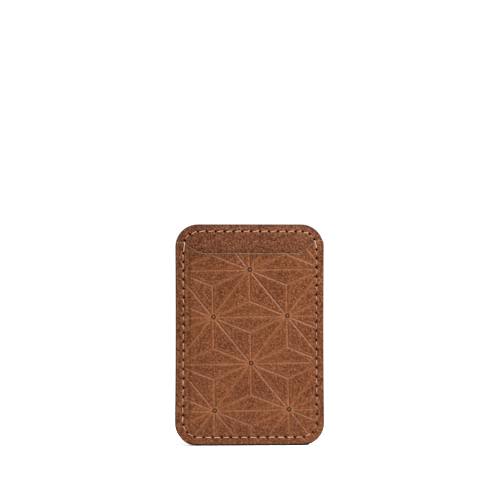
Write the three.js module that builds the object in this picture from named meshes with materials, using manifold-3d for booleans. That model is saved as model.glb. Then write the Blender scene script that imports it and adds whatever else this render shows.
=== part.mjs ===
// A magnetic leather card wallet that clings to the back of a phone.
// Three leather panels and a core board are stacked and sewn together round their rim. The front
// panel is a pocket for cards, and a ring of magnets lies in the core board behind them.
// Millimetres, +Z up. The wallet stands on its bottom edge with the pocket towards -Y. The origin
// is the centre of its footprint.
import * as THREE from "three";
import { mergeVertices } from "three/addons/utils/BufferGeometryUtils.js";
import Module from "manifold-3d";

const wasm = await Module();
wasm.setup();

// ---- Driving dimensions ----

const width = 65;
const height = 97.5;
const cornerRadius = 10;
const cornerSteps = 8; // straight steps that make each quarter-round corner

// Layers, from the phone side to the card side. A glue line separates neighbours.
const glueLine = 0.05;
const backLeather = 1.0;
const coreThickness = 1.2;
const backingLeather = 1.0;
const frontLeather = 1.5;
const cardRoom = 0.8; // depth of the empty pocket, pared out of the front leather
const pocketRise = 0.4; // how far the front panel stands out over the cards

// The pocket, moulded round a stack of 54 by 85.6 mm cards.
const pocketHalfWidth = 27.3;
const pocketFloor = 5.2;
const pocketCornerRadius = 3.5;
const riseInset = 4.1; // from the wallet's edge to the foot of the raised area
const riseSlope = 2.4; // width of the sloping border of the raised area

// The mouth of the pocket, as depths below the top edge and half-widths.
const mouthDepth = 13.0;
const mouthFlatHalf = 20.8;
const slopeFootHalf = 23.8;
const slopeFootDepth = 11.7;
const slopeTopHalf = 27.7;
const slopeTopDepth = 8.5;
const shoulderHalf = 30.0;
const shoulderDepth = 7.5;
const mouthCurveSteps = 4;

// Stitching: one closed row, with a hole at the middle of the top and of the bottom.
const stitchInset = 3.2;
const stitchCount = 72;
const holeSide = 0.8;
const threadThickness = 0.5;
const legSide = 0.36;
const frontThreadProud = 0.15;
const backThreadSunk = 0.05;
const grooveWidth = 1.3;
const threadClearance = 0.05;
const lockGap = 0.3; // between the two threads, where they loop round each other
const shoulderHole = 28; // counted from the bottom middle: the first hole above the mouth
const shoulderShifts = [1.7, 1.0, 0.5]; // the shoulder stitch is long, and the next ones even it out

// The magnet ring and the upright bar below it that stops the wallet turning.
const ringCentreZ = 63.5;
const ringOuter = 27.0;
const ringInner = 22.8;
const magnetCount = 18;
const magnetGapDegrees = 1.6;
const magnetThickness = 0.8;
const magnetArcSteps = 4;
const barWidth = 6;
const barLength = 16;
const barTopBelowRing = 3.2;
const barCornerRadius = 0.8;
const barCornerSteps = 3;
const slotClearance = 0.3; // between the core board and what lies in it
const shieldThickness = 0.2;
const filmThickness = 0.1;
const ringSteps = 48;

// ---- Depths, measured from the phone face towards the cards ----

const backFace = 0;
const backInside = backFace + backLeather;
const coreBack = backInside + glueLine;
const coreFront = coreBack + coreThickness;
const backingBack = coreFront + glueLine;
const backingFront = backingBack + backingLeather;
const panelBack = backingFront + glueLine;
const panelFront = panelBack + frontLeather;
const totalDepth = panelFront + pocketRise;
const filmBack = coreBack;
const magnetBack = filmBack + filmThickness + glueLine;
const shieldBack = magnetBack + magnetThickness + glueLine;

// ---- Outlines, drawn with x across and y up the wallet ----

// A rectangle with round corners, centred on x = 0.
function roundedRectangle(halfWidth, bottom, top, radius, steps = cornerSteps) {
  const points = [];
  const corners = [
    [halfWidth - radius, bottom + radius, -90],
    [halfWidth - radius, top - radius, 0],
    [radius - halfWidth, top - radius, 90],
    [radius - halfWidth, bottom + radius, 180],
  ];
  for (const [x, y, startDegrees] of corners)
    for (let i = 0; i <= steps; i++) {
      const angle = THREE.MathUtils.degToRad(startDegrees + (90 * i) / steps);
      points.push(new THREE.Vector2(x + radius * Math.cos(angle), y + radius * Math.sin(angle)));
    }
  return points;
}

// The wallet's outline, moved inwards by `inset`.
const insetOutline = (inset) =>
  roundedRectangle(width / 2 - inset, inset, height - inset, cornerRadius - inset);

// The edge of the pocket's mouth, from right to left, and then round everything above it.
function aboveMouth() {
  const half = new THREE.Path();
  half.moveTo(width, height - shoulderDepth);
  half.lineTo(shoulderHalf, height - shoulderDepth);
  half.quadraticCurveTo(
    shoulderHalf - 1, height - shoulderDepth, slopeTopHalf, height - slopeTopDepth);
  half.lineTo(slopeFootHalf, height - slopeFootDepth);
  half.quadraticCurveTo(
    slopeFootHalf - 1, height - mouthDepth, mouthFlatHalf, height - mouthDepth);
  const right = half.getPoints(mouthCurveSteps);
  const left = right.map((p) => new THREE.Vector2(-p.x, p.y)).reverse();
  const top = [new THREE.Vector2(-width, 2 * height), new THREE.Vector2(width, 2 * height)];
  return [...right, ...left, ...top];
}

// ---- Stitch holes ----

// The point and direction at a distance along the stitch row, from the bottom middle to the right.
function stitchRowAt(distance) {
  const radius = cornerRadius - stitchInset;
  const across = width / 2 - cornerRadius;
  const up = height - 2 * cornerRadius;
  const arc = (Math.PI / 2) * radius;
  const low = cornerRadius;
  const high = height - cornerRadius;
  if (distance < across) return { x: distance, y: stitchInset, angle: 0 };
  if (distance < across + arc) {
    const angle = (distance - across) / radius;
    return { x: across + radius * Math.sin(angle), y: low - radius * Math.cos(angle), angle };
  }
  if (distance < across + arc + up)
    return { x: width / 2 - stitchInset, y: low + distance - across - arc, angle: Math.PI / 2 };
  if (distance < across + 2 * arc + up) {
    const turned = (distance - across - arc - up) / radius;
    return {
      x: across + radius * Math.cos(turned),
      y: high + radius * Math.sin(turned),
      angle: Math.PI / 2 + turned,
    };
  }
  return { x: 2 * across + 2 * arc + up - distance, y: height - stitchInset, angle: Math.PI };
}

const halfRow =
  width - 2 * cornerRadius + Math.PI * (cornerRadius - stitchInset) + height - 2 * cornerRadius;
const pitch = (2 * halfRow) / stitchCount;

function stitchHoles() {
  const right = [];
  for (let k = 0; k <= stitchCount / 2; k++) {
    const shift = shoulderShifts[k - shoulderHole] ?? 0;
    right.push({ ...stitchRowAt(Math.min(k * pitch + shift, halfRow)), inPocket: k < shoulderHole });
  }
  const left = right.slice(1, -1).reverse()
    .map((hole) => ({ x: -hole.x, y: hole.y, angle: -hole.angle, inPocket: hole.inPocket }));
  return [...right, ...left];
}

const holes = stitchHoles();

// ---- Solids ----

// Outlines are extruded upwards; this lays the result back so that depth runs towards -Y, with
// the middle of the wallet's thickness at y = 0.
function standUp(geometry) {
  return geometry.rotateX(Math.PI / 2).translate(0, totalDepth / 2, 0);
}

function slab(outline, from, thickness) {
  const settings = { depth: thickness, bevelEnabled: false };
  const shape = new THREE.Shape(outline);
  return toSolid(new THREE.ExtrudeGeometry(shape, settings).translate(0, 0, from));
}

// A square punch through every layer, with its sides along the row.
function punch({ x, y, angle }) {
  const post = new THREE.BoxGeometry(holeSide, holeSide, 4 * totalDepth);
  return toSolid(post.rotateZ(angle).translate(x, y, 0));
}

function toSolid(geometry) {
  const bare = geometry.clone();
  bare.deleteAttribute("normal");
  bare.deleteAttribute("uv");
  const merged = mergeVertices(bare, 1e-5);
  const index = merged.index.array;
  return new wasm.Manifold(new wasm.Mesh({
    numProp: 3,
    vertProperties: new Float32Array(merged.attributes.position.array),
    triVerts: new Uint32Array(index),
  }));
}

function toGeometry(solid) {
  const mesh = solid.getMesh();
  const geometry = new THREE.BufferGeometry();
  geometry.setAttribute("position", new THREE.BufferAttribute(mesh.vertProperties, 3));
  geometry.setIndex(new THREE.BufferAttribute(mesh.triVerts, 1));
  geometry.computeVertexNormals();
  return geometry;
}

// The shallow channel that the thread lies in, from one depth to another.
function groove(from, thickness) {
  const outer = slab(insetOutline(stitchInset - grooveWidth / 2), from, thickness);
  const inner = slab(insetOutline(stitchInset + grooveWidth / 2), from, thickness);
  return outer.subtract(inner);
}

function disc(radius, from, thickness) {
  const points = [];
  for (let i = 0; i < ringSteps; i++) {
    const a = (2 * Math.PI * i) / ringSteps;
    points.push(new THREE.Vector2(radius * Math.cos(a), ringCentreZ + radius * Math.sin(a)));
  }
  return slab(points, from, thickness);
}

function ring(from, thickness) {
  return disc(ringOuter, from, thickness).subtract(disc(ringInner, from, thickness));
}

function bar(from, thickness, grow = 0) {
  const top = ringCentreZ - ringOuter - barTopBelowRing;
  const outline = roundedRectangle(
    barWidth / 2 + grow, top - barLength - grow, top + grow, barCornerRadius + grow, barCornerSteps);
  return slab(outline, from, thickness);
}

// ---- Sub-parts ----

const frontGroove = threadThickness - frontThreadProud + threadClearance;
const backGroove = threadThickness + backThreadSunk + threadClearance;
const allPunches = wasm.Manifold.union(holes.map(punch));
const pocketPunches = wasm.Manifold.union(holes.filter((hole) => hole.inPocket).map(punch));

function frontPanel() {
  const topInset = riseInset + riseSlope;
  const foot = new THREE.Shape(roundedRectangle(
    width / 2 - topInset, topInset, height, cornerRadius - topInset));
  const raised = new THREE.ExtrudeGeometry(foot, {
    depth: frontLeather,
    bevelSegments: 1,
    bevelSize: riseSlope,
    bevelThickness: pocketRise,
  }).translate(0, 0, panelBack);
  const roomOutline = roundedRectangle(
    pocketHalfWidth, pocketFloor, 2 * height, pocketCornerRadius);
  const beyondPanel = slab(insetOutline(-width), -width, width + panelBack);
  return slab(insetOutline(0), panelBack, frontLeather)
    .subtract(pocketPunches)
    .subtract(groove(panelFront - frontGroove, 2 * frontGroove))
    .add(toSolid(raised))
    .subtract(slab(roomOutline, panelBack - 1, cardRoom + 1))
    .subtract(slab(aboveMouth(), 0, 2 * totalDepth))
    .subtract(beyondPanel);
}

function backingPanel() {
  const channel = groove(backingFront - frontGroove, 2 * frontGroove)
    .intersect(slab(aboveMouth(), 0, totalDepth));
  return slab(insetOutline(0), backingBack, backingLeather).subtract(allPunches).subtract(channel);
}

function backPanel() {
  return slab(insetOutline(0), backFace, backLeather)
    .subtract(allPunches)
    .subtract(groove(backFace - backGroove, 2 * backGroove));
}

function coreBoard() {
  return slab(insetOutline(0), coreBack, coreThickness)
    .subtract(allPunches)
    .subtract(disc(ringOuter + slotClearance, 0, totalDepth))
    .subtract(bar(0, totalDepth, slotClearance));
}

function magnet(index) {
  const sweep = 360 / magnetCount;
  const start = 90 + sweep * index + magnetGapDegrees / 2;
  const arc = (radius) => {
    const points = [];
    for (let i = 0; i <= magnetArcSteps; i++) {
      const degrees = start + (i / magnetArcSteps) * (sweep - magnetGapDegrees);
      const a = THREE.MathUtils.degToRad(degrees);
      points.push(new THREE.Vector2(radius * Math.cos(a), ringCentreZ + radius * Math.sin(a)));
    }
    return points;
  };
  return slab([...arc(ringOuter), ...arc(ringInner).reverse()], magnetBack, magnetThickness);
}

// The outline of a flat strip of thread through a row of holes, with no needless points.
function stripSides(row) {
  const sameWay = (a, b) => a && b && Math.cos(a.angle - b.angle) > 1 - 1e-9;
  const turning = row.filter((hole, i) => !sameWay(row[i - 1], hole) || !sameWay(hole, row[i + 1]));
  const side = (reach) => turning.map(({ x, y, angle }) =>
    new THREE.Vector2(x + reach * Math.sin(angle), y - reach * Math.cos(angle)));
  return { outer: side(threadThickness / 2), inner: side(-threadThickness / 2) };
}

function openStrip(row, from) {
  const { outer, inner } = stripSides(row);
  return slab([...outer, ...inner.reverse()], from, threadThickness);
}

function closedStrip(row, from) {
  const { outer, inner } = stripSides([...row, row[0]]);
  return slab(outer.slice(1), from, threadThickness)
    .subtract(slab(inner.slice(1), from, threadThickness));
}

function leg({ x, y, angle }, from, to) {
  const post = new THREE.BoxGeometry(legSide, legSide, to - from);
  return toSolid(post.rotateZ(angle).translate(x, y, (from + to) / 2));
}

const lockDepth = (coreBack + coreFront) / 2;

// The front thread lies on the front panel round the pocket, and on the backing panel above it.
function frontThread() {
  const shoulder = holes.findIndex((hole) => !hole.inPocket);
  const pastShoulder = holes.findLastIndex((hole) => !hole.inPocket);
  const low = backingFront + frontThreadProud - threadThickness;
  const high = panelFront + frontThreadProud - threadThickness;
  const above = holes.slice(shoulder, pastShoulder + 1);
  const round = [...holes.slice(pastShoulder), ...holes.slice(0, shoulder + 1)];
  const legs = [
    ...round.map((hole) => leg(hole, lockDepth + lockGap / 2, high + threadThickness / 2)),
    ...above.slice(1, -1).map((hole) => leg(hole, lockDepth + lockGap / 2, low + threadThickness / 2)),
  ];
  return wasm.Manifold.union([openStrip(above, low), openStrip(round, high), ...legs]);
}

function backThread() {
  const from = backFace + backThreadSunk;
  const legs = holes.map((hole) => leg(hole, from + threadThickness / 2, lockDepth - lockGap / 2));
  return wasm.Manifold.union([closedStrip(holes, from), ...legs]);
}

// ---- Materials ----

const finish = (color, roughness, metalness = 0) =>
  new THREE.MeshStandardMaterial({ color, roughness, metalness });

const embossedLeather = finish(0x8a5638, 0.55);
const plainLeather = finish(0x7c4c36, 0.6);
const phoneSideLeather = finish(0x7f4e35, 0.6);
const board = finish(0x6d5f4e, 0.9);
const linenThread = finish(0xcda27c, 0.7);
const nickelPlate = finish(0xb8b6b0, 0.3, 1);
const zincSteel = finish(0x9da0a3, 0.45, 1);
const film = finish(0xd8d4c4, 0.4);

// ---- Assembly ----

const wallet = new THREE.Group();

function place(name, solid, material) {
  const mesh = new THREE.Mesh(standUp(toGeometry(solid)), material);
  mesh.name = name;
  wallet.add(mesh);
}

place("front_pocket_panel", frontPanel(), embossedLeather);
place("card_backing_panel", backingPanel(), plainLeather);
place("core_board", coreBoard(), board);
place("core_disc", disc(ringInner - slotClearance, coreBack, coreThickness), board);
place("phone_side_panel", backPanel(), phoneSideLeather);
for (let i = 0; i < magnetCount; i++)
  place(`ring_magnet_${String(i + 1).padStart(2, "0")}`, magnet(i), nickelPlate);
place("alignment_magnet", bar(magnetBack, magnetThickness), nickelPlate);
place("ring_shield", ring(shieldBack, shieldThickness), zincSteel);
place("alignment_shield", bar(shieldBack, shieldThickness), zincSteel);
place("ring_adhesive", ring(filmBack, filmThickness), film);
place("alignment_adhesive", bar(filmBack, filmThickness), film);
place("front_thread", frontThread(), linenThread);
place("back_thread", backThread(), linenThread);

export default wallet;
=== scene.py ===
"""The looks of a magnetic leather card wallet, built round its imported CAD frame.

Shapes are worked out in millimetres, in the frame's axes: x across, z up, and y out of the phone
side. A leather panel starts as a flat grid in x and z and is given its relief as heights.
"""
import math

import bpy
import numpy as np
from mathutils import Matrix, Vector
from mathutils.geometry import tessellate_polygon


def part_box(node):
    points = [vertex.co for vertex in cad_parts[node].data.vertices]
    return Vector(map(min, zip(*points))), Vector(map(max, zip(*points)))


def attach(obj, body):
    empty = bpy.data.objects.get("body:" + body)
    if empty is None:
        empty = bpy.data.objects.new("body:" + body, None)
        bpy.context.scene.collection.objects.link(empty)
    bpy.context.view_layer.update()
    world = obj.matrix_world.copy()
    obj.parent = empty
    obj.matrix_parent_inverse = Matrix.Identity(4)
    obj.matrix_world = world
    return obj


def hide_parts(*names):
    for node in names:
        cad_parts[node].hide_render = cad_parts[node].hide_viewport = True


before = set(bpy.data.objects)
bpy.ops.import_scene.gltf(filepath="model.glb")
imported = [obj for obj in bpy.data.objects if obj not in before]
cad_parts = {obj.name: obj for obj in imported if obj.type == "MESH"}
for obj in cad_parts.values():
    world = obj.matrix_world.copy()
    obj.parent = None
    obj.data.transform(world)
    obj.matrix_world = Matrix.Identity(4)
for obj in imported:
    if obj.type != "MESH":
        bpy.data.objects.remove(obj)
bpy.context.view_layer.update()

MM = 0.001

# ---- Measures from the frame, in millimetres ----


def span(node):
    """The two opposite corners of a CAD node's box."""
    return np.array(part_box(node)) / MM


panel_low, panel_high = span("phone_side_panel")
WIDTH = panel_high[0] - panel_low[0]
HEIGHT = panel_high[2] - panel_low[2]
CORNER = 10.0  # radius of the outline's corners
MIDDLE_X = WIDTH / 2 - CORNER
LOW_Z = CORNER
HIGH_Z = HEIGHT - CORNER

PHONE_INSIDE, PHONE_FACE = panel_low[1], panel_high[1]
CORE_FACES = span("core_board")[:, 1]
BACKING_FACES = span("card_backing_panel")[:, 1]
FRONT_FACE, FRONT_INSIDE = span("front_pocket_panel")[:, 1]
FRONT_LEATHER = 1.5
CARD_ROOM = 0.8  # depth of the room for a card, pared out of the front leather
CARD_ROOM_HALF, CARD_ROOM_FLOOR = 27.3, 5.2
CARD_HALF = 27  # half the width of a card
CARD_CREASE = 26.3  # where a card's sides have creased the front
LOCK_DEPTH = (CORE_FACES[0] + CORE_FACES[1]) / 2  # where the two threads loop round each other
SLOT_CLEARANCE = 0.3  # round what lies in the core's slots
FRONT_MARGIN = FRONT_INSIDE - FRONT_LEATHER
RISE = FRONT_MARGIN - FRONT_FACE

ring_low, ring_high = span("ring_shield")
RING_CENTRE_Z = (ring_low[2] + ring_high[2]) / 2
RING_OUTER = (ring_high[0] - ring_low[0]) / 2
RING_WIDTH = 4.2
RING_INNER = RING_OUTER - RING_WIDTH
bar_low, bar_high = span("alignment_shield")

# The pocket's mouth: depths below the top edge, and distances from the middle.
MOUTH_DEPTH = 12.8
MOUTH_FLAT = 20.8
SLOPE_FOOT = 23.8, 11.7
SLOPE_TOP = 27.7, 8.5
SHOULDER = 30.0, 7.5
SHOULDER_SHIFT = 0.4  # how much higher the right shoulder lies, and how much lower the left one
MOUTH_ROUNDING = 1.3  # reach of the smoothing that rounds the mouth's corners
MOUTH_DARKENING = 0.16  # how much darker the leather is coloured along the mouth

# Hand-cut sides: narrowest at a share of the height, and flaring to the foot and to the top.
NARROWEST = 0.52
NARROWEST_SCALE = 1.0015
FOOT_FLARE, TOP_FLARE = 0.055, 0.028

# Stitching. The row is a rectangle with round corners.
ROW_HALF = 29.25
ROW_LOW, ROW_HIGH = 3.8, 94.35
ROW_RADIUS = 6.8
# Holes are evenly spaced between these stops, which are a hole's number and how far it is along
# the row, from the bottom middle to the right. They are hand punched, so the sides differ.
HOLE_STOPS = ((0, -0.6), (6, 23.5), (8, 32.4), (18, 73.1), (27, 109.0), (28, 113.5), (31, 123.1),
              (42, 166.0), (44, 173.5), (45, 179.1), (55, 218.0), (64, 254.5), (66, 262.3),
              (72, 285.9))
THREAD = 0.4
PLIES = 3
PLY_RADIUS = 0.25 * THREAD
PLY_OFFSET = 0.5 * THREAD - PLY_RADIUS
TWIST_LENGTH = 1.25
THREAD_STEP = 0.15
THREAD_STOP = 0.2  # how far short of the lock's depth each thread is modelled

# The pressed star lattice
STAR_HALF_PITCH = 16.3
STAR_ROW_PITCH = 20.6
STAR_CENTRE = 0.28, 46.6
STAR_TURN = math.radians(0.9)
PRESS_DEPTH = 0.28
PRESS_HALF_WIDTH = 0.26
LIP_HEIGHT, LIP_DISTANCE, LIP_HALF_WIDTH = 0.05, 0.8, 0.35  # the soft lips beside a line
DOT_DEPTH = 0.05
DOT_RING_DEPTH, DOT_RING_RADIUS, DOT_RING_HALF_WIDTH = 0.35, 0.76, 0.34

# The leather grids
STEP = 0.3  # spacing
FRONT_STEP = 0.27  # spacing on the embossed panel
COARSE = 4  # grid steps to a cell of a panel's hidden side
STRAIGHT_ROWS = 78.0  # above this height, the front panel's rows bend into the mouth's shape
BENT_ROWS = 31
RIM_ROWS = [0, 0.03, 0.08, 0.15, 0.24, 0.35]  # distances from the rim of the closest rows
EVEN_ROWS_FROM = 0.5
LIP_ROWS = np.array([0.75, EVEN_ROWS_FROM, *RIM_ROWS[::-1]])  # the same, below the mouth's edge

# Holes, groove and edges
HOLE_LENGTH, HOLE_WIDTH = 0.58, 0.45  # half-sizes of a stitch hole
HOLE_TILT = math.radians(24)
FOOT_HOLE_TILT = 0.25  # share of that tilt along the foot
HOLE_DEPTH = 1.2
HOLE_STEPS = (0.12, 0.92), (0.4, 0.86), (HOLE_DEPTH, 0.8)  # depths, and shares of its full size
HOLE_REACH = 1.5  # how far round a hole the grid makes room for it
DIMPLE, DIMPLE_RADIUS = 0.2, 0.62  # how far the leather is pulled in round a hole
PUCKER = 0.03  # height of the swell round a dimple
GROOVE, GROOVE_HALF_WIDTH = 0.1, 0.4  # the channel that the thread lies in
FACE_RIM = 0.42  # radius of the shown edges
INNER_RIM = 0.12  # radius of the edges between layers

# ---- Small maths ----


def smooth(low, high, value):
    """0 up to low, 1 from high, and a smooth rise between."""
    t = np.clip((np.asarray(value, float) - low) / (high - low), 0, 1)
    return t * t * (3 - 2 * t)


def noise(x, z, size, seed, octaves=3):
    """Smooth noise from -1 to 1 over the plane, with lumps about `size` across."""
    total = np.zeros(np.shape(x))
    weight, norm = 1.0, 0.0
    for octave in range(octaves):
        cells = np.random.default_rng(seed + octave).uniform(-1, 1, (256, 256))
        u, v = x / size + 40.3, z / size + 17.9
        i, j = np.floor(u).astype(int), np.floor(v).astype(int)
        fu, fv = smooth(0, 1, u - i), smooth(0, 1, v - j)
        a, b = cells[i % 256, j % 256], cells[(i + 1) % 256, j % 256]
        c, d = cells[i % 256, (j + 1) % 256], cells[(i + 1) % 256, (j + 1) % 256]
        total += weight * ((a * (1 - fu) + b * fu) * (1 - fv) + (c * (1 - fu) + d * fu) * fv)
        norm += weight
        weight, size = weight * 0.5, size * 0.5
    return total / norm


def inside(x, z, half_width, low, high, radius):
    """How far a point lies inside a rectangle with round corners."""
    qx = np.abs(x) - (half_width - radius)
    qz = np.abs(z - (low + high) / 2) - ((high - low) / 2 - radius)
    outside = np.hypot(np.maximum(qx, 0), np.maximum(qz, 0))
    return radius - outside - np.minimum(np.maximum(qx, qz), 0)


def inset(x, z, top=HEIGHT):
    """How far a point lies inside the wallet's outline, whose top edge can be moved up."""
    return inside(x, z, WIDTH / 2, 0, top, CORNER)


def waist(x, z):
    """Where the hand-cut sides' flare puts a point that lies at x on the even outline."""
    rise = (z - NARROWEST * HEIGHT) / HEIGHT
    return x * (NARROWEST_SCALE + np.where(rise < 0, FOOT_FLARE, TOP_FLARE) * rise ** 2)


def mouth_height(x):
    """The height of the pocket's edge over each x. Its shoulders aren't quite level."""
    across = np.abs(x)
    xs, depths = zip((0, MOUTH_DEPTH), (MOUTH_FLAT, MOUTH_DEPTH), SLOPE_FOOT, SLOPE_TOP,
                     SHOULDER, (WIDTH / 2 + 1, SHOULDER[1]))
    blurred = np.zeros(np.shape(across))
    offsets = np.linspace(-MOUTH_ROUNDING, MOUTH_ROUNDING, 9)
    weights = np.cos(offsets / MOUTH_ROUNDING * math.pi / 2) ** 2 + 0.05
    for offset, share in zip(offsets, weights / weights.sum()):
        blurred += share * np.interp(np.abs(across + offset), xs, depths)
    uneven = SHOULDER_SHIFT * (smooth(22, 28, x) - smooth(22, 28, -x))
    return HEIGHT - blurred + uneven


# ---- Stitch holes ----


def row_at(distance):
    """A point on the stitch row and the row's direction, going right from the bottom middle."""
    straight, arc = ROW_HALF - ROW_RADIUS, math.pi / 2 * ROW_RADIUS
    low, high = ROW_LOW + ROW_RADIUS, ROW_HIGH - ROW_RADIUS
    up = high - low
    half_row = 2 * straight + 2 * arc + up
    if distance > half_row:
        x, z, angle = row_at(2 * half_row - distance)
        return -x, z, -angle
    if distance < straight:
        return distance, ROW_LOW, 0.0
    if distance < straight + arc:
        angle = (distance - straight) / ROW_RADIUS
        return (straight + ROW_RADIUS * math.sin(angle), low - ROW_RADIUS * math.cos(angle),
                angle)
    if distance < straight + arc + up:
        return ROW_HALF, low + distance - straight - arc, math.pi / 2
    if distance < straight + 2 * arc + up:
        turn = (distance - straight - arc - up) / ROW_RADIUS
        return (straight + ROW_RADIUS * math.cos(turn), high + ROW_RADIUS * math.sin(turn),
                math.pi / 2 + turn)
    return half_row - distance, ROW_HIGH, math.pi


def stitch_holes():
    """The holes' places, their row's angle there, and whether they go through the pocket."""
    numbers, distances = zip(*HOLE_STOPS)
    holes = []
    for k in range(numbers[-1]):
        x, z, angle = row_at(np.interp(k, numbers, distances))
        holes.append({"x": x, "z": z, "angle": angle, "pocket": z < mouth_height(x)})
    return holes


HOLES = stitch_holes()
POCKET_HOLES = [hole for hole in HOLES if hole["pocket"]]
UPPER_HOLES = [hole for hole in HOLES if not hole["pocket"]]

# ---- Grids and meshes ----


def even(low, high, step):
    """Evenly spaced values from low to high, about a step apart."""
    return np.linspace(low, high, int(round((high - low) / step)) + 1)


def cell_lines(count):
    """The grid lines that bound the coarse cells."""
    lines = list(range(0, count - 1, COARSE))
    return lines + [count - 1]


def block(xs, zs):
    """A patch of grid: its points, its fine quads, and the edges of its coarse cells."""
    rows, columns = xs.shape
    index = np.arange(rows * columns).reshape(rows, columns)
    quads = np.stack([index[:-1, :-1], index[:-1, 1:], index[1:, 1:], index[1:, :-1]], -1)
    cells = []
    row_lines, column_lines = cell_lines(rows), cell_lines(columns)
    for low, high in zip(row_lines, row_lines[1:]):
        for left, right in zip(column_lines, column_lines[1:]):
            cells.append([*index[low, left:right], *index[low:high, right],
                          *index[high, right:left:-1], *index[high:low:-1, left]])
    corners = index[np.ix_(row_lines, column_lines)].ravel()
    return np.stack([xs.ravel(), zs.ravel()], -1), quads.reshape(-1, 4).tolist(), cells, corners


def outline_grid(step, top=None):
    """A grid over the wallet's outline, or below the pocket's edge if top gives its height."""
    insets = np.concatenate([RIM_ROWS, even(EVEN_ROWS_FROM, CORNER, step)])
    centre = even(-MIDDLE_X, MIDDLE_X, step)
    angles = even(0, math.pi / 2, step / CORNER)
    corner_x = MIDDLE_X + np.outer(np.sin(angles), CORNER - insets)
    corner_z = LOW_Z - np.outer(np.cos(angles), CORNER - insets)
    patches = [np.meshgrid(centre, insets), (corner_x, corner_z), (-corner_x, corner_z)]
    blocks = [block(x, z) for x, z in patches]
    if top is None:
        blocks += [block(x, HEIGHT - z) for x, z in patches]
    rows = even(LOW_Z, HIGH_Z if top is None else STRAIGHT_ROWS, step)
    right = WIDTH / 2 - insets[::-1]
    for columns in (right, centre, -right):
        x, z = np.meshgrid(columns, rows)
        if top is not None:
            x, z = rows_up_to(top, columns, x, z)
        blocks.append(block(x, z))
    return weld(blocks)


def rows_up_to(top, columns, low_x, low_z):
    """Adds rows to a grid that bend into the shape of its top edge."""
    edge = top(columns)
    shares = np.linspace(0, 1, BENT_ROWS)[1:, None]
    high_z = STRAIGHT_ROWS + shares * (edge - LIP_ROWS[0] - STRAIGHT_ROWS)[None, :]
    lip_z = edge[None, :] - LIP_ROWS[1:, None]
    zs = np.concatenate([low_z, high_z, lip_z])
    xs = np.repeat(low_x[:1], len(zs), 0)
    above = np.clip(zs - HIGH_Z, 0, CORNER)
    narrow = np.sqrt(CORNER ** 2 - above ** 2) / CORNER
    beyond = np.abs(xs) - MIDDLE_X
    return np.where(beyond > 0, np.sign(xs) * (MIDDLE_X + beyond * narrow), xs), zs


def weld(blocks):
    """Joins patches at their shared points and turns every face the same way."""
    points, faces, cells, corners, start = [], [], [], [], 0
    for block_points, quads, block_cells, block_corners in blocks:
        points.append(block_points)
        faces += [[c + start for c in quad] for quad in quads]
        cells += [[c + start for c in cell] for cell in block_cells]
        corners.append(block_corners + start)
        start += len(block_points)
    points = np.concatenate(points)
    keys = np.round(points * 1e5).astype(np.int64)
    _, first, inverse = np.unique(keys, axis=0, return_index=True, return_inverse=True)
    inverse = inverse.reshape(-1)
    points = points[first]
    faces = tidy_faces(points, [inverse[face].tolist() for face in faces])
    cells = tidy_faces(points, [inverse[cell].tolist() for cell in cells])
    kept = set(inverse[np.concatenate(corners)].tolist()) | set(border_loop(faces))
    cells = [[corner for corner in cell if corner in kept] for cell in cells]
    return points, faces, cells


def signed_area(loop):
    """Twice a loop's area: positive if it runs anticlockwise."""
    after = np.roll(loop, -1, 0)
    return (loop[:, 0] * after[:, 1] - after[:, 0] * loop[:, 1]).sum()


def tidy_faces(points, faces):
    """Drops repeated corners and empty faces, and turns the rest anticlockwise."""
    clean = []
    for face in faces:
        corners = [c for i, c in enumerate(face) if c != face[i - 1]]
        if len(corners) < 3:
            continue
        clean.append(corners if signed_area(points[corners]) > 0 else corners[::-1])
    return clean


def border_loop(faces):
    """The open border of a set of faces, as one loop of corners in the faces' own direction."""
    edges = {(face[i - 1], a) for face in faces for i, a in enumerate(face)}
    after = {a: b for a, b in edges if (b, a) not in edges}
    loop = [min(after)]
    while after[loop[-1]] != loop[0]:
        loop.append(after[loop[-1]])
    return loop


def add_object(name, data):
    """Puts an object that shows this data in the scene."""
    added = bpy.data.objects.new(name, data)
    bpy.context.scene.collection.objects.link(added)
    return added


class Build:
    """The points, faces and material values of one mesh."""

    def __init__(self, *layers):
        self.points, self.faces = [], []
        self.layers = {layer: [] for layer in layers}

    def add(self, x, y, z, **values):
        """Adds points with their material values, and gives their numbers."""
        first = len(self.points)
        x, y, z = np.broadcast_arrays(x, y, z)
        self.points += np.stack([x, y, z], -1).tolist()
        for layer, kept in self.layers.items():
            kept += np.broadcast_to(values.get(layer, 0.0), x.shape).tolist()
        return list(range(first, len(self.points)))

    def bridge(self, upper, lower):
        """Adds a band of faces between two closed loops."""
        for i in range(len(upper)):
            self.faces.append([upper[i], upper[i - 1], lower[i - 1], lower[i]])

    def cap(self, loop):
        """Closes a loop with one face."""
        self.faces.append(loop[::-1])

    def make(self, name, material, flip):
        """Makes the object, in metres and with the sides flared."""
        mesh = bpy.data.meshes.new(name)
        faces = [face[::-1] for face in self.faces] if flip else self.faces
        points = np.array(self.points)
        points[:, 0] = waist(points[:, 0], points[:, 2])
        mesh.from_pydata((points * MM).tolist(), [], faces)
        for layer, values in self.layers.items():
            mesh.attributes.new(layer, "FLOAT", "POINT").data.foreach_set("value", values)
        mesh.shade_smooth()
        mesh.set_sharp_from_angle(angle=math.radians(65))
        mesh.materials.append(material)
        return add_object(name, mesh)


# ---- Relief of the leather, as heights above its face ----


def hole_frame(hole):
    """A hole's long and short directions. Holes lean across the row, least along the foot."""
    angle = hole["angle"] - HOLE_TILT * (FOOT_HOLE_TILT if hole["z"] < LOW_Z / 2 else 1)
    along = math.cos(angle), math.sin(angle)
    return np.array(along), np.array([along[1], -along[0]])


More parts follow.
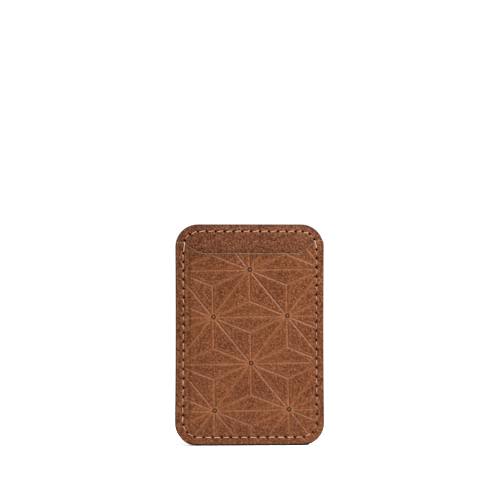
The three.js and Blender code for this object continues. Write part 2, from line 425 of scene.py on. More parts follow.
def open_holes(points, faces, holes):
    """Moves grid corners so that a ring of them lies round each hole, and takes out the middle."""
    touching = [[] for _ in points]
    for number, face in enumerate(faces):
        for corner in face:
            touching[corner].append(number)
    gone, rings = set(), []
    for hole in holes:
        centre = np.array([hole["x"], hole["z"]])
        near = np.flatnonzero((np.abs(points - centre) < HOLE_REACH + 0.5).all(1))
        local = points[near]
        away = np.hypot(*(local - centre).T)
        nearest = near[np.argmin(away)]
        moved = 1 - smooth(STEP, HOLE_REACH + 0.1, away)
        local = local + (centre - points[nearest]) * moved[:, None]
        middle = touching[nearest]
        ring = border_loop([faces[number] for number in middle])
        long_way, short_way = hole_frame(hole)
        offset = local - centre
        away = np.maximum(np.hypot(*offset.T), 1e-6)
        direction = offset / away[:, None]
        stretched = np.hypot(direction @ long_way / HOLE_LENGTH, direction @ short_way / HOLE_WIDTH)
        reach = 1 / np.maximum(stretched, 1)
        spread = away + (reach - STEP) * (1 - smooth(STEP, HOLE_REACH, away))
        spread = np.where(np.isin(near, ring), reach, np.maximum(spread, reach * 1.15))
        spread = np.where(away > HOLE_REACH, away, spread)
        points[near] = centre + direction * spread[:, None]
        gone.update(middle)
        rings.append(ring[::-1])
    return [face for number, face in enumerate(faces) if number not in gone], rings


def stitch_relief(x, z, holes, amount=1.0):
    """The thread's groove and the pull round each hole."""
    row = inside(x, z, ROW_HALF, ROW_LOW, ROW_HIGH, ROW_RADIUS)
    relief = -GROOVE * amount * np.exp(-(np.abs(row) / GROOVE_HALF_WIDTH) ** 3)
    for hole in holes:
        away = np.hypot(x - hole["x"], z - hole["z"])
        near = away < 3
        relief[near] -= DIMPLE * np.exp(-(away[near] / DIMPLE_RADIUS) ** 2)
        relief[near] += PUCKER * np.exp(-((away[near] - 1.5) / 0.4) ** 2)
    return relief


def grain(x, z, seed):
    """Slow unevenness, and creases and pores that lean down to the right."""
    slow = 0.05 * noise(x, z, 14, seed)
    across, along = x * 0.8 + z * 0.6, z * 0.8 - x * 0.6
    creases = 0.022 * noise(across, along * 0.45, 1.1, seed + 11)
    pores = -0.03 * smooth(0.35, 0.8, noise(x, z, 0.9, seed + 23, 2))
    return slow + creases + pores


def star_lines():
    """The lattice's lines as pairs of ends, and its nodes, in the wallet's x and z."""
    half, row = STAR_HALF_PITCH, STAR_ROW_PITCH
    nodes, lines = [], []
    for level in range(-3, 3):
        for k in range(-3, 4):
            u = 2 * half * k + (half if level % 2 == 0 else 0)
            v = row * (level + 0.5)
            node, right = (u, v), (u + 2 * half, v)
            upper_left, upper_right = (u - half, v + row), (u + half, v + row)
            up, down = (u + half, v + row / 3), (u, v + 2 * row / 3)
            nodes.append(node)
            lines += [(node, right), (node, upper_right), (node, upper_left)]
            lines += [(up, node), (up, right), (up, upper_right)]
            lines += [(down, node), (down, upper_left), (down, upper_right)]
    turn = np.array([[math.cos(STAR_TURN), math.sin(STAR_TURN)],
                     [-math.sin(STAR_TURN), math.cos(STAR_TURN)]])
    return np.array(lines) @ turn + STAR_CENTRE, np.array(nodes) @ turn + STAR_CENTRE


def star_distance(x, z):
    """The way to the nearest line of the lattice, in x and z, and the distance to a node."""
    lines, nodes = star_lines()
    way_x, way_z = np.full(x.shape, 99.0), np.full(x.shape, 99.0)
    for (ax, az), (bx, bz) in lines:
        dx, dz = bx - ax, bz - az
        t = np.clip(((x - ax) * dx + (z - az) * dz) / (dx * dx + dz * dz), 0, 1)
        new_x, new_z = ax + t * dx - x, az + t * dz - z
        nearer = np.hypot(new_x, new_z) < np.hypot(way_x, way_z)
        way_x, way_z = np.where(nearer, new_x, way_x), np.where(nearer, new_z, way_z)
    to_node = np.full(x.shape, 99.0)
    for ax, az in nodes:
        to_node = np.minimum(to_node, np.hypot(x - ax, z - az))
    return way_x, way_z, to_node


def crowd_lines(points):
    """Draws the grid's points in towards the lattice's lines, where the relief is fine."""
    x, z = points.T
    way_x, way_z, _ = star_distance(x, z)
    distance = np.hypot(way_x, way_z)
    share = np.clip(1 - np.sqrt(distance), 0, 0.5) * smooth(0.03, 0.1, distance)
    share = share * smooth(4.2, 5.2, inset(x, z, 3 * HEIGHT)) * smooth(1.5, 3, mouth_height(x) - z)
    return points + np.stack([way_x * share, way_z * share], -1)


def press_amount(x, z):
    """How firmly the lattice is pressed: fully on the raised area, faintly out to the stitches."""
    from_side = inset(x, z, 3 * HEIGHT)
    return 0.35 * smooth(3.2, 4.2, from_side) + 0.65 * smooth(4, 6, from_side)


def star_relief(x, z):
    """Lines with soft lips, and ringed dots where they meet: heights, pressing and dark rings."""
    way_x, way_z, to_node = star_distance(x, z)
    to_line = np.hypot(way_x, way_z)
    line = np.exp(-(to_line / PRESS_HALF_WIDTH) ** 2)
    lips = np.exp(-((to_line - LIP_DISTANCE) / LIP_HALF_WIDTH) ** 2)
    dot = smooth(1.7, 1.1, to_node)
    ring = np.exp(-((to_node - DOT_RING_RADIUS) / DOT_RING_HALF_WIDTH) ** 4)
    height = (-PRESS_DEPTH * line + LIP_HEIGHT * lips) * (1 - dot)
    height = height - DOT_RING_DEPTH * ring - DOT_DEPTH * dot
    pressed = (0.3 * line + 0.5 * np.exp(-(to_line / 0.95) ** 2)
               + 0.06 * np.exp(-(to_node / 3.5) ** 2))
    amount = press_amount(x, z)
    return height * amount, np.clip(pressed, 0, 1) * amount, ring * amount


# ---- Leather panels ----


def mouth_distance(x, z):
    """How far a point lies below the pocket's edge, square to that edge."""
    slope = (mouth_height(x + 0.05) - mouth_height(x - 0.05)) / 0.1
    return (mouth_height(x) - z) / np.hypot(1, slope)


def leather_panel(grid, face, inside, heights, holes, rim, seed, room=None, has_mouth=False):
    """The mesh of a leather panel, and which way its shown face looks.

    The hidden side is at depth `inside`, drawn out by room. heights gives the shown face's relief,
    how firmly it is pressed and its dark rings, and rim gives the radius of the edge.
    """
    out = math.copysign(1, face - inside)
    points, faces, cells = grid[0].copy(), grid[1], grid[2]
    border = border_loop(faces)
    if has_mouth:
        points = crowd_lines(points)
    faces, rings = open_holes(points, faces, holes)
    x, z = points.T
    from_side = np.maximum(inset(x, z), 0)
    from_mouth = mouth_distance(x, z) if has_mouth else np.full(x.shape, 99.0)
    from_edge = np.minimum(from_side, np.maximum(from_mouth, 0))
    from_edge[border] = 0
    relief, pressed, dark_rings = heights(x, z)
    height = relief * smooth(0, 0.9, from_side) - rim_drop(from_edge, rim(x, z))
    at_mouth = 1 - smooth(0.05, 0.35, from_mouth)
    dark_reach = paint_and_shade_reach(x, z)

    build = Build("rim", "mouth", "press", "pit")
    # The rim layer is real edge paint, widened into painted contact shadow along the foot and
    # painted shade on the left side.
    build.add(x, face + out * height, z, press=pressed, mouth=at_mouth,
              rim=(1 - smooth(0.5 * dark_reach, 1.5 * dark_reach, from_side)) * (1 - at_mouth),
              pit=np.maximum(pit_shade(x, z, holes), dark_rings)
              + MOUTH_DARKENING * smooth(3.5, 0.8, from_mouth))
    build.faces = [list(corners) for corners in faces]
    for ring, hole in zip(rings, holes):
        dig_pit(build, points, ring, hole, face + out * height[ring].mean(), out)

    def hidden(x, z):
        return inside + out * (room(x, z) if room else 0 * x)

    paint = {"mouth": at_mouth[border], "rim": 1 - at_mouth[border]}
    top, low = face + out * height[border], hidden(*points[border].T)
    edge = panel_edge(build, border, points[border], top, low, out, paint, seed)
    hidden_side(build, points, cells, dict(zip(border, edge)), hidden)
    return build, out


def rim_drop(from_edge, radius):
    """How far the leather falls away on its rounded edge."""
    short = np.clip(radius - from_edge, 0, None)
    return radius - np.sqrt(radius ** 2 - short ** 2)


def panel_edge(build, loop, points, top, low, out, paint, seed):
    """The slightly wavy edge of a panel, from the loop round its shown face to its hidden side."""
    x, z = points.T
    inwards = loop_inwards(points)
    wobble = 0.03 + 0.03 * noise(x, z, 5, seed)
    levels = [(top + (low + out * INNER_RIM - top) * share, wobble * share)
              for share in (0.35, 0.7, 1)]
    levels += [(low + out * 0.35 * INNER_RIM, wobble + 0.3 * INNER_RIM), (low, wobble + INNER_RIM)]
    for level, step in levels:
        shift = inwards * step[:, None]
        lower = build.add(x + shift[:, 0], level, z + shift[:, 1], **paint)
        build.bridge(loop, lower)
        loop = lower
    return loop


def hidden_side(build, points, cells, renamed, level_at):
    """A panel's hidden side, in coarse faces. renamed gives the new corners along its edge."""
    within = sorted({corner for cell in cells for corner in cell} - set(renamed))
    x, z = points[within].T
    renamed.update(zip(within, build.add(x, level_at(x, z), z)))
    for cell in cells:
        build.cap([renamed[corner] for corner in cell])


def paint_and_shade_reach(x, z):
    """How far the edge paint laps over the face: most along the foot, least on the right. The wider
    reach along the foot is painted contact shadow, and on the left side painted shade.
    """
    return 0.1 + 0.85 * smooth(2.5, 0.9, z) + 0.15 * smooth(-28, -32, x)


def pit_shade(x, z, holes):
    """Painted shade: 1 at the lip of a stitch hole, fading over the leather round it."""
    shade = np.zeros(x.shape)
    for hole in holes:
        away = np.hypot(x - hole["x"], z - hole["z"])
        shade = np.maximum(shade, 0.95 * (1 - smooth(0.42, 0.68, away)))
    return shade


def dig_pit(build, points, ring, hole, level, out):
    """A stitch hole's wall, narrowing downwards, and its floor, with painted shade that darkens
    downwards.
    """
    centre = np.array([hole["x"], hole["z"]])
    upper = ring
    for depth, size in HOLE_STEPS:
        spot = centre + (points[ring] - centre) * size
        lower = build.add(spot[:, 0], level - out * depth, spot[:, 1], pit=min(1, 0.6 + depth))
        build.bridge(upper, lower)
        upper = lower
    build.cap(upper)


def loop_inwards(loop_points):
    """The directions square to an anticlockwise loop and towards its inside."""
    way = np.roll(loop_points, -1, 0) - np.roll(loop_points, 1, 0)
    way /= np.maximum(np.hypot(*way.T), 1e-9)[:, None]
    return np.stack([-way[:, 1], way[:, 0]], -1)


# ---- Plates of the core ----


def ring_of(count, centre_x, centre_z, radius):
    """Points evenly round a circle, anticlockwise."""
    angles = np.linspace(0, 2 * math.pi, count, endpoint=False)
    return np.stack([centre_x + radius * np.cos(angles), centre_z + radius * np.sin(angles)], -1)


def rounded_box(low, high, radius, steps=6):
    """A rectangle with round corners between two points, anticlockwise."""
    (left, _, foot), (right, _, top) = low + radius, high - radius
    points = []
    for x, z, start in ((right, foot, -90), (right, top, 0), (left, top, 90), (left, foot, 180)):
        for i in range(steps + 1):
            angle = math.radians(start + 90 * i / steps)
            points.append((x + radius * math.cos(angle), z + radius * math.sin(angle)))
    return np.array(points)


def plate(outline, openings, low_y, high_y, edge=INNER_RIM):
    """A flat plate with softened edges. Outline and openings run anticlockwise."""
    build = Build("rim")
    loops = [outline] + [opening[::-1] for opening in openings]
    sides = {"low": [], "high": []}
    for loop in loops:
        inwards = loop_inwards(loop)
        rows = []
        for y, step in ((low_y, edge), (low_y + edge, 0), (high_y - edge, 0), (high_y, edge)):
            spot = loop + inwards * step
            rows.append(build.add(spot[:, 0], y, spot[:, 1], rim=1.0 if loop is outline else 0.0))
        for upper, lower in zip(rows, rows[1:]):
            build.bridge(upper, lower)
        sides["low"].append(rows[0])
        sides["high"].append(rows[-1])
    flat = np.array(build.points)[:, [0, 2]]
    for side, loops in sides.items():
        corners = [corner for loop in loops for corner in loop]
        for triangle in tessellate_polygon([[Vector((*flat[c], 0)) for c in loop]
                                            for loop in loops]):
            face = [corners[i] for i in triangle]
            area = signed_area(flat[face])
            if abs(area) > 1e-12:
                build.faces.append(face if (area > 0) == (side == "low") else face[::-1])
    return build


# ---- Thread ----


def soften(points, times):
    """Rounds an open line by cutting its corners."""
    for _ in range(times):
        early, late = points[:-1], points[1:]
        cut = np.stack([0.75 * early + 0.25 * late, 0.25 * early + 0.75 * late], 1)
        points = np.concatenate([points[:1], cut.reshape(-1, points.shape[1]), points[-1:]])
    return points


def stitch_end(lift, push, depth):
    """A stitch's way out of its hole: distances along it, out of the row, above the leather."""
    return np.array([(0.21, 0, -depth), (0.22, 0, -1.2), (0.3, push * 0.5, -0.75),
                     (0.52, push * 0.9, -0.5), (0.74, push, lift - 0.12),
                     (1.05, push, lift + 0.02)])


def stitch_line(length, start_lift, end_lift, start_push, end_push, depths):
    """One whole stitch, up from its first hole and down its second, with rounded bends."""
    start = stitch_end(start_lift, start_push, depths[0])
    end = stitch_end(end_lift, end_push, depths[1])[::-1]
    end[:, 0] = length - end[:, 0]
    middle = 0.5 * length, (start_push + end_push) / 2, (start_lift + end_lift) / 2 + 0.02
    return soften(np.concatenate([start, [middle], end]), 3)


def thread_path(holes, level_at, out, shapes):
    """The thread's centre line. Each row is a point, the way out of the row there, and the lift."""
    depths = [abs(level_at(hole["x"], hole["z"]) - LOCK_DEPTH) - THREAD_STOP for hole in holes]
    rows = []
    for start, end, *ends in zip(holes, holes[1:] + holes[:1], depths, depths[1:] + depths[:1]):
        first, last = np.array([start["x"], start["z"]]), np.array([end["x"], end["z"]])
        length = np.hypot(*(last - first))
        along = (last - first) / length
        outwards = np.array([along[1], -along[0]])
        line = stitch_line(length, *shapes(start, end), ends)
        flat = first + line[:, :1] * along + line[:, 1:2] * outwards
        place = np.stack([flat[:, 0], level_at(*flat.T) + out * line[:, 2], flat[:, 1]], -1)
        outs = np.repeat([[outwards[0], 0, outwards[1]]], len(line), 0)
        rows.append(np.concatenate([place, outs, line[:, 2:]], 1))
    return np.concatenate(rows)


def resample(path):
    """Even steps along the thread's closed line, longer ones deep inside the holes."""
    spacings = THREAD_STEP * (1 + 2 * smooth(0.8, 1.2, -path[:, 6]))
    closed = np.concatenate([path, path[:1]])
    steps = np.linalg.norm(np.diff(closed[:, :3], axis=0), axis=1) / spacings
    travelled = np.concatenate([[0], np.cumsum(steps)])
    wanted = np.linspace(0, travelled[-1], int(travelled[-1]), endpoint=False)
    return np.stack([np.interp(wanted, travelled, column) for column in closed.T], -1)


def twisted_thread(path, sides=8):
    """A closed thread of twisted plies along a line."""
    points, outs, lifts = path[:, :3], path[:, 3:6], path[:, 6]
    build = Build("deep")
    # How far down a hole the thread goes, which the material turns into painted shade.
    deep = smooth(0.24, 0.55, -lifts)
    tangent = np.roll(points, -1, 0) - np.roll(points, 1, 0)
    tangent /= np.linalg.norm(tangent, axis=1)[:, None]
    first = outs - (outs * tangent).sum(1)[:, None] * tangent
    first /= np.linalg.norm(first, axis=1)[:, None]
    second = np.cross(tangent, first)
    steps = np.linalg.norm(np.roll(points, -1, 0) - points, axis=1)
    travelled = np.concatenate([[0], np.cumsum(steps)[:-1]])
    turns = round(steps.sum() / TWIST_LENGTH)
    twist = 2 * math.pi * turns * travelled / steps.sum()
    swell = 1 + 0.06 * noise(travelled, travelled * 0, 1.3, 71)

    def aside(angle, reach):
        """The way from the line to a point at this angle round it."""
        return (reach * (np.cos(angle) * first.T + np.sin(angle) * second.T)).T

    for ply in range(PLIES):
        angle = twist + 2 * math.pi * ply / PLIES
        centre = points + aside(angle, PLY_OFFSET * swell)
        rows = []
        for side in range(sides):
            ring = centre + aside(2 * math.pi * side / sides + angle, PLY_RADIUS)
            rows.append(build.add(*ring.T, deep=deep))
        for side in range(sides):
            build.bridge(rows[side], rows[side - 1])
    return build


# ---- Materials ----


def add_node(tree, kind, inputs, **settings):
    """Adds a node. inputs are sockets to link or values to set, by place or by name."""
    made = tree.nodes.new(kind)
    for key, value in settings.items():
        setattr(made, key, value)
    for key, value in inputs.items() if isinstance(inputs, dict) else enumerate(inputs):
        if isinstance(value, bpy.types.NodeSocket):
            tree.links.new(value, made.inputs[key])
        else:
            made.inputs[key].default_value = value
    return made.outputs[0]


class Shader:
    """Builds one node material over the object's own coordinates in millimetres."""

    def __init__(self, name, **constants):
        self.material = bpy.data.materials.new(name)
        self.material.use_nodes = True
        self.tree = self.material.node_tree
        self.tree.nodes.clear()
        self.surface = self.tree.nodes.new("ShaderNodeBsdfPrincipled")
        shown = self.tree.nodes.new("ShaderNodeOutputMaterial").inputs["Surface"]
        self.tree.links.new(self.surface.outputs[0], shown)
        for socket, value in constants.items():
            self.surface.inputs[socket.replace("_", " ")].default_value = value
        coordinates = self.tree.nodes.new("ShaderNodeTexCoord")
        self.place = self.node("ShaderNodeVectorMath", [coordinates.outputs["Object"]],
                               operation="SCALE")
        self.place.node.inputs["Scale"].default_value = 1 / MM

    def node(self, kind, inputs, **settings):
        """Adds a node to this material."""
        return add_node(self.tree, kind, inputs, **settings)

    def turned(self, degrees, stretch):
        """Coordinates turned in the wallet's plane and then stretched."""
        turned = self.node("ShaderNodeVectorRotate", {"Vector": self.place,
                           "Angle": math.radians(degrees)}, rotation_type="Y_AXIS")
        return self.node("ShaderNodeVectorMath", [turned, stretch], operation="MULTIPLY")

    def noise(self, scale, detail=3, roughness=0.5, place=None, distortion=0.0):
        """Random clouds about 1 / scale mm across."""
        return self.node("ShaderNodeTexNoise", {
            "Vector": place or self.place, "Scale": scale, "Detail": detail,
            "Roughness": roughness, "Distortion": distortion})

    def cell_edges(self, place):
        """The distance to the nearest border between random cells about 1 mm across."""
        return self.node("ShaderNodeTexVoronoi", {"Vector": place, "Scale": 1.0},
                         feature="DISTANCE_TO_EDGE")

    def math(self, operation, *values):
        """A sum of numbers or sockets, by Blender's name for it."""
        return self.node("ShaderNodeMath", values, operation=operation)

    def remap(self, value, low, high, to_low=0.0, to_high=1.0):
        """A smooth step of the value from one range to another."""
        return self.node("ShaderNodeMapRange", [value, low, high, to_low, to_high],
                         interpolation_type="SMOOTHSTEP")

    def mix(self, factor, a, b):
        """Mixes two colours, given as sockets or as linear RGB."""
        a, b = ((*colour, 1) if isinstance(colour, tuple) else colour for colour in (a, b))
        mixed = self.node("ShaderNodeMix", {0: factor, 6: a, 7: b}, data_type="RGBA")
        return mixed.node.outputs[2]

    def layer(self, name):
        """A value that the mesh carries at each of its points."""
        made = self.node("ShaderNodeAttribute", (), attribute_name=name)
        return made.node.outputs["Fac"]

    def total(self, *shares):
        """The sum of (weight, value) pairs."""
        result = 0.0
        for weight, value in shares:
            result = self.math("MULTIPLY_ADD", value, weight, result)
        return result

    def finish(self, colour=None, roughness=None, height=None, bump_depth=0.05):
        """Links what varies over the surface. The bump's depth is in millimetres."""
        for socket, value in (("Base Color", colour), ("Roughness", roughness)):
            if value is not None:
                self.tree.links.new(value, self.surface.inputs[socket])
        if height is not None:
            bump = self.node("ShaderNodeBump", {"Height": height, "Distance": bump_depth * MM,
                                                "Strength": 1.0})
            self.tree.links.new(bump, self.surface.inputs["Normal"])
        return self.material


def srgb(red, green, blue):
    """A linear colour from screen values."""
    return tuple(((c / 255 + 0.055) / 1.055) ** 2.4 for c in (red, green, blue))


# Real dark edge paint, also used for the painted contact shadow along the foot and painted shade on
# the left side.
EDGE_PAINT_AND_SHADE = srgb(9, 7, 6)
# Pale colour along the pocket's mouth edge.
PALE_MOUTH_EDGE = srgb(104, 90, 72)
# Near-black that the pit layer mixes in: painted shade in and round the stitch holes, the real dark
# of the pressed dot rings, and the darker band along the mouth.
HOLE_DARK = srgb(14, 9, 7)
# Pale tone of the pressed lines: partly the pressed leather's own colour, partly painted highlight.
PRESSED_TONE_AND_HIGHLIGHT = srgb(150, 96, 62)
LEAN = 46  # degrees that the leather's creases lean from upright, down to the right


def leather(name, dark, middle, light, pebbled=1.0):
    """Full-grain leather: cloudy colour, fine creases and pores, and painted edges; also painted
    shade at the foot, the left side and the stitch holes, and a partly painted highlight along the
    pressed lines.
    """
    shader = Shader(name, Specular_IOR_Level=0.12)
    clouds = shader.noise(0.06, 3, 0.5)
    mottle = shader.noise(0.3, 4, 0.6, distortion=0.5)
    streak = shader.noise(1.6, 2, 0.5, shader.turned(LEAN, (1.3, 1.0, 0.45)))
    fine = shader.noise(2.6, 2, 0.6, shader.turned(LEAN, (1.2, 1.0, 0.5)))
    tone = shader.total((0.35, clouds), (0.45, mottle), (1.3, streak), (2.4, fine))
    colour = shader.mix(shader.remap(tone, 1.75, 2.3), dark, middle)
    colour = shader.mix(shader.remap(tone, 2.1, 2.8), colour, light)
    pressed = shader.layer("press")
    smoothed = shader.math("MULTIPLY_ADD", pressed, -0.75, 1.0)
    creases = shader.cell_edges(shader.turned(LEAN, (1.2, 1.0, 0.7)))
    creases = shader.remap(creases, 0.16, 0.02)
    pores = shader.remap(shader.noise(1.5, 2, 0.5, shader.turned(LEAN, (1.2, 1.0, 0.8))), 0.5, 0.64)
    marks = shader.math("MULTIPLY", shader.math("MAXIMUM", creases, pores), smoothed)
    marks = shader.math("MULTIPLY", marks, shader.remap(mottle, 0.3, 0.6, 0.25, 0.55))
    colour = shader.mix(marks, colour, dark)
    # Lighter along the pressed lines and round the nodes: partly the pressed leather's own
    # smoother, paler tone, partly painted highlight.
    colour = shader.mix(shader.math("MULTIPLY", pressed, 0.34), colour, light)
    colour = shader.mix(shader.remap(pressed, 0.5, 0.85, 0, 0.15), colour, PRESSED_TONE_AND_HIGHLIGHT)
    worn = shader.noise(0.6, 4, 0.6)
    # Edge paint, plus painted contact shadow along the foot and painted shade on the left side
    # where it reaches wider.
    rim = shader.remap(shader.math("ADD", shader.layer("rim"),
                                   shader.math("MULTIPLY", worn, 0.5)), 0.75, 1.0)
    colour = shader.mix(rim, colour, EDGE_PAINT_AND_SHADE)
    mouth = shader.remap(shader.layer("mouth"), 0.35, 0.8)
    colour = shader.mix(mouth, colour, PALE_MOUTH_EDGE)
    # Painted shade in and round the stitch holes, the real dark of the pressed dot rings, and the
    # darker band along the mouth.
    colour = shader.mix(shader.layer("pit"), colour, HOLE_DARK)
    roughness = shader.remap(tone, 1.9, 2.9, 0.38, 0.8)
    raised = shader.total((-0.5 * pebbled, marks), (0.7, streak), (0.6, fine))
    return shader.finish(colour, roughness, raised, 0.08)


def waxed_thread():
    """Linen with fine fibres and a few stains, and painted shade where it goes down its holes."""
    shader = Shader("waxed_linen", Roughness=0.62, Specular_IOR_Level=0.3)
    along = shader.noise(9, 3, 0.6)
    stain = shader.noise(0.25, 2, 0.5)
    colour = shader.mix(shader.remap(along, 0.3, 0.7), srgb(150, 106, 74), srgb(202, 164, 131))
    colour = shader.mix(shader.remap(stain, 0.35, 0.75, 0, 0.4), colour, srgb(157, 113, 80))
    # Painted shade on the thread deep in its holes.
    colour = shader.mix(shader.layer("deep"), colour, srgb(20, 13, 9))
    return shader.finish(colour, None, along, 0.04)


def plated_metal(name, dark, light, roughness, scale, depth):
    """Satin metal with fine rolling marks and faint stains."""
    shader = Shader(name, Metallic=1.0)
    rolled = shader.noise(scale, 3, 0.6, shader.turned(12, (1.0, 1.0, 0.06)))
    stains = shader.noise(0.3, 4, 0.6)
    colour = shader.mix(shader.remap(stains, 0.35, 0.7), dark, light)
    rough = shader.remap(rolled, 0.3, 0.7, roughness - 0.07, roughness + 0.1)
    return shader.finish(colour, rough, rolled, depth)


def spacer_board():
    """Dark pressed board, with a painted rim."""
    shader = Shader("spacer_board", Specular_IOR_Level=0.25, Roughness=0.85)
    fibres = shader.noise(1.4, 4, 0.7, shader.turned(20, (1.0, 1.0, 0.25)))
    specks = shader.noise(5, 2, 0.6)
    colour = shader.mix(shader.remap(fibres, 0.3, 0.7), srgb(44, 38, 34), srgb(74, 64, 55))
    colour = shader.mix(shader.remap(specks, 0.6, 0.75), colour, srgb(98, 86, 72))
    colour = shader.mix(shader.layer("rim"), colour, srgb(30, 26, 25))
    return shader.finish(colour, None, fibres, 0.05)


def adhesive_film():
    """Pale film with soft ripples."""
    shader = Shader("adhesive_film", Specular_IOR_Level=0.4)
    ripples = shader.noise(0.5, 3, 0.5)
    colour = shader.mix(shader.remap(ripples, 0.3, 0.7), srgb(206, 200, 184), srgb(228, 224, 212))
    rough = shader.remap(ripples, 0.3, 0.7, 0.35, 0.5)
    return shader.finish(colour, rough, ripples, 0.03)


embossed_leather = leather("embossed_leather", srgb(43, 16, 2), srgb(84, 40, 14),
                           srgb(122, 76, 46))
plain_leather = leather("plain_leather", srgb(44, 17, 4), srgb(80, 39, 17), srgb(122, 78, 52))
phone_side_leather = leather("phone_side_leather", srgb(48, 21, 10), srgb(86, 45, 22),
                             srgb(112, 66, 39), 0.5)
linen = waxed_thread()
board = spacer_board()
nickel = plated_metal("nickel_plate", srgb(188, 184, 176), srgb(212, 208, 200), 0.28, 6, 0.01)
steel = plated_metal("shield_steel", srgb(150, 154, 158), srgb(184, 187, 190), 0.4, 3, 0.02)
film = adhesive_film()

# ---- The pieces ----


def front_heights(x, z):
    """The raised card area, with the lattice, the stitches' pull and two faint card creases."""
    star, pressed, dark_rings = star_relief(x, z)
    from_side = WIDTH / 2 - np.abs(x)
    crown = 1.1 - 0.15 * (x / CARD_HALF) ** 2
    side = np.where(x < 0, smooth(5.3, 6.8, from_side), smooth(2.5, 7, from_side))
    rise = RISE * crown * side * smooth(3, 12, z)
    rise += 0.3 * smooth(3.2, 0.6, z) - 0.14 * smooth(3, 0.4, from_side)
    stitched = stitch_relief(x, z, POCKET_HOLES)
    ridge = 0.06 * np.exp(-((np.abs(x) - CARD_CREASE) / 0.35) ** 2) * smooth(9, 14, z)
    rise += ridge * smooth(-0.2, 0.5, noise(x * 0, z, 9, 5))
    return rise + grain(x, z, 3) * (1 - 0.7 * pressed) + star + stitched, pressed, dark_rings


def front_rim(x, z):
    """The radius of the front's edge: crisper along the pocket's mouth."""
    return FACE_RIM - 0.28 * smooth(2, 0.6, mouth_distance(x, z))


def backing_heights(x, z):
    """Relief only where the backing shows above the mouth. It slopes down to the outline."""
    shown = smooth(-1, 1, z - mouth_height(x))
    sloped = -0.3 * smooth(3.4, 0.2, inset(x, z))
    return (grain(x, z, 41) + stitch_relief(x, z, UPPER_HOLES) + sloped) * shown, 0 * x, 0 * x


def backing_rim(x, z):
    """The radius of the backing's edge: crisp under the front panel."""
    return INNER_RIM + 0.25 * smooth(-1, 1, z - mouth_height(x))


def phone_side_heights(x, z):
    """Deep stitches, and the magnets showing faintly through the leather."""
    away = np.hypot(x, z - RING_CENTRE_Z)
    ring = smooth(RING_OUTER + 1.2, RING_OUTER - 0.6, away) * smooth(
        RING_INNER - 1.2, RING_INNER + 0.6, away)
    beyond = np.maximum(np.abs(x) - bar_high[0], np.maximum(bar_low[2] - z, z - bar_high[2]))
    magnets = 0.05 * np.maximum(ring, smooth(1.2, -0.6, beyond))
    return grain(x, z, 77) + magnets + stitch_relief(x, z, HOLES, 4.2), 0 * x, 0 * x


def phone_side_rim(x, z):
    """The radius of the phone side's edge, which is the same all round."""
    return np.full(x.shape, FACE_RIM)


def card_room(x, z):
    """The room for a card between the front panel and the backing."""
    beside = CARD_ROOM_HALF - np.abs(x)
    return CARD_ROOM * smooth(0, 1.4, np.minimum(beside, z - CARD_ROOM_FLOOR))


def add_piece(build, name, node, material, flip=False):
    """Puts a piece in the scene in place of its CAD node."""
    piece = build.make(name, material, flip)
    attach(piece, "root")
    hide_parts(node)


def add_panel(name, node, slot, material, *shape, **settings):
    """Puts a leather panel in the scene in place of its CAD node."""
    build, out = leather_panel(*shape, **settings)
    add_piece(build, name, node, material, flip=out > 0)


whole = outline_grid(STEP)
add_panel("embossed_pocket", "front_pocket_panel", "embossed_leather", embossed_leather,
          outline_grid(FRONT_STEP, mouth_height), FRONT_MARGIN, FRONT_INSIDE, front_heights,
          POCKET_HOLES, front_rim, seed=15, room=card_room, has_mouth=True)
add_panel("card_backing", "card_backing_panel", "plain_leather", plain_leather,
          whole, *BACKING_FACES, backing_heights, UPPER_HOLES, backing_rim, seed=12)
add_panel("phone_side", "phone_side_panel", "phone_side_leather", phone_side_leather,
          whole, PHONE_FACE, PHONE_INSIDE, phone_side_heights, HOLES, phone_side_rim, seed=10)


def core_outline():
    """The board's outline, a little inside the leather's and slightly wavy."""
    points, faces, _ = whole
    rim = points[border_loop(faces)]
    return rim + loop_inwards(rim) * (0.09 + 0.03 * noise(*rim.T, 6, 5))[:, None]


ring_slot = ring_of(180, 0, RING_CENTRE_Z, RING_OUTER + SLOT_CLEARANCE)
bar_slot = rounded_box(bar_low - SLOT_CLEARANCE, bar_high + SLOT_CLEARANCE, 1.1)
add_piece(plate(core_outline(), [ring_slot, bar_slot], *CORE_FACES),
          "spacer", "core_board", board)
add_piece(plate(ring_of(160, 0, RING_CENTRE_Z, RING_INNER - SLOT_CLEARANCE), [], *CORE_FACES),
          "spacer_disc", "core_disc", board)

# ---- Stitching ----


def front_level(x, z):
    """The depth of the leather under the thread. It steps down at the pocket's shoulders."""
    beyond = smooth(-0.05, 0.45, -mouth_distance(x, z))
    return FRONT_MARGIN + (BACKING_FACES[0] - FRONT_MARGIN) * beyond


def back_level(x, z):
    """The phone side is flat."""
    return np.full(np.shape(x), PHONE_FACE)


# Lift above the leather, slant across the row and push out of it, along the top and the foot.
TOP_STITCH, FOOT_STITCH = (-0.12, 0.2, 0.05), (-0.17, 0.02, 0.12)
# Lift of the lower end, lift of the upper end and push, along the sides.
LEFT_STITCH, RIGHT_STITCH = (-0.25, -0.16, 0.18), (-0.24, -0.17, 0.16)


def stitch_shape(start, end):
    """The lifts of a stitch's start and end, and then their pushes out of the row."""
    across, up = end["x"] - start["x"], end["z"] - start["z"]
    if start["pocket"] != end["pocket"]:
        return 0.02, 0.02, 0, 0  # the long stitch over the pocket's shoulder
    if abs(across) > abs(up):
        lift, slant, push = TOP_STITCH if start["z"] > HEIGHT / 2 else FOOT_STITCH
        return lift, lift, push + slant, push - slant
    lower, upper, push = LEFT_STITCH if start["x"] < 0 else RIGHT_STITCH
    return (lower, upper, push, push) if up > 0 else (upper, lower, push, push)


def sunk_stitch_shape(start, end):
    """The phone side's stitches lie below its face, so that it meets the phone flat."""
    return -0.24, -0.24, 0.03, -0.03


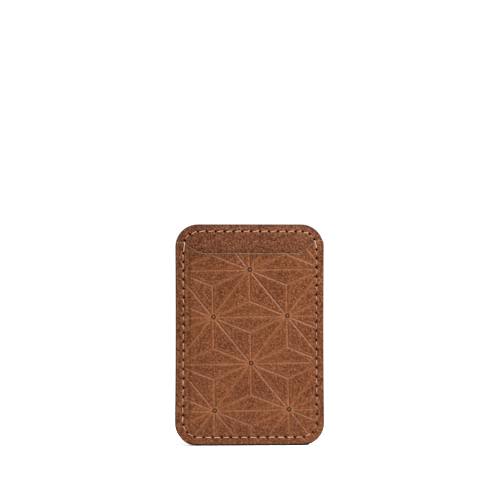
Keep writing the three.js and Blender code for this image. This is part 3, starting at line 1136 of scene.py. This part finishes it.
def add_thread(name, node, level_at, out, shapes):
    """Puts one side's thread in the scene in place of its CAD node."""
    build = twisted_thread(resample(thread_path(HOLES, level_at, out, shapes)))
    add_piece(build, name, node, linen, flip=True)


add_thread("pocket_stitching", "front_thread", front_level, -1, stitch_shape)
add_thread("phone_side_stitching", "back_thread", back_level, 1, sunk_stitch_shape)

# ---- What lies sealed in the core keeps its CAD shape ----

SEALED = {"_magnet": nickel, "_shield": steel, "_adhesive": film}
for node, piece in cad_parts.items():
    for kind, material in SEALED.items():
        if kind in node:
            piece.data.materials.clear()
            piece.data.materials.append(material)

# ---- Floor, light and camera, in metres ----

FLOOR_HALF = 4
KEY_WAY, KEY_DISTANCE = (0.62, -0.48, 0.66), 0.5  # from the wallet's middle
CAMERA_DISTANCE = 1.5
CAMERA_TURN = -4.5  # degrees round to the wallet's left
CAMERA_AIM = 0.17, 86.2  # x and height of the picture's middle, in millimetres
SENSOR_WIDTH = 36  # in millimetres
VIEW_WIDTH = 0.2205  # what the picture spans at the wallet


def add_floor():
    """A big, faintly cloudy white floor."""
    mesh = bpy.data.meshes.new("floor")
    corners = [(x * FLOOR_HALF, y * FLOOR_HALF, 0) for x, y in ((-1, -1), (1, -1), (1, 1), (-1, 1))]
    mesh.from_pydata(corners, [], [(0, 1, 2, 3)])
    shader = Shader("white_floor", Roughness=0.9, Specular_IOR_Level=0.1)
    cloudy = shader.noise(0.004, 3, 0.5)
    colour = shader.mix(shader.remap(cloudy, 0.3, 0.7), (0.94, 0.94, 0.94), (0.96, 0.96, 0.96))
    mesh.materials.append(shader.finish(colour))
    floor = add_object("floor", mesh)


def add_world(front, back):
    """Surroundings that light the pocket's side less. The camera sees them white everywhere."""
    world = bpy.data.worlds.new("world")
    world.use_nodes = True
    tree = world.node_tree
    way = tree.nodes.new("ShaderNodeTexCoord").outputs["Generated"]
    depth = add_node(tree, "ShaderNodeSeparateXYZ", [way]).node.outputs["Y"]
    light = add_node(tree, "ShaderNodeMapRange", [depth, -0.5, 0.1, front, back])
    seen = tree.nodes.new("ShaderNodeLightPath").outputs["Is Camera Ray"]
    strength = add_node(tree, "ShaderNodeMath", [light, seen], operation="MAXIMUM")
    tree.links.new(strength, tree.nodes["Background"].inputs["Strength"])
    tree.nodes["Background"].inputs["Color"].default_value = (1, 1, 1, 1)
    bpy.context.scene.world = world


def add_light(name, kind, energy, turn, place=(0, 0, 0), **settings):
    """Puts a light in the scene, with its energy in Blender's unit for its kind."""
    data = bpy.data.lights.new(name, kind)
    data.energy = energy
    for key, value in settings.items():
        setattr(data, key, value)
    light = add_object(name, data)
    light.location = place
    light.rotation_euler = turn


def add_lights():
    """A wide one above, a little in front, and a small one at the right, aimed at the middle."""
    add_light("overhead", "SUN", 1.2, (math.radians(-8), 0, 0), angle=math.radians(60))
    way = Vector(KEY_WAY).normalized()
    add_light("key", "AREA", 0.425, (-way).to_track_quat("-Z", "Y").to_euler(),
              Vector((0, 0, HEIGHT / 2 * MM)) + way * KEY_DISTANCE, size=0.07,
              spread=math.radians(42))


def add_camera():
    """A level camera, far off and with a long lens."""
    data = bpy.data.cameras.new("camera")
    data.sensor_width = SENSOR_WIDTH
    data.lens = CAMERA_DISTANCE * SENSOR_WIDTH / VIEW_WIDTH
    camera = add_object("camera", data)
    turn = math.radians(CAMERA_TURN)
    aim = Vector((CAMERA_AIM[0] * MM, 0, CAMERA_AIM[1] * MM))
    camera.location = aim + Vector((math.sin(turn), -math.cos(turn), 0)) * CAMERA_DISTANCE
    camera.rotation_euler = (math.pi / 2, 0, turn)
    bpy.context.scene.camera = camera


add_world(front=0.3, back=1.06)
add_lights()
add_floor()
add_camera()
bpy.context.scene.view_settings.view_transform = "Standard"
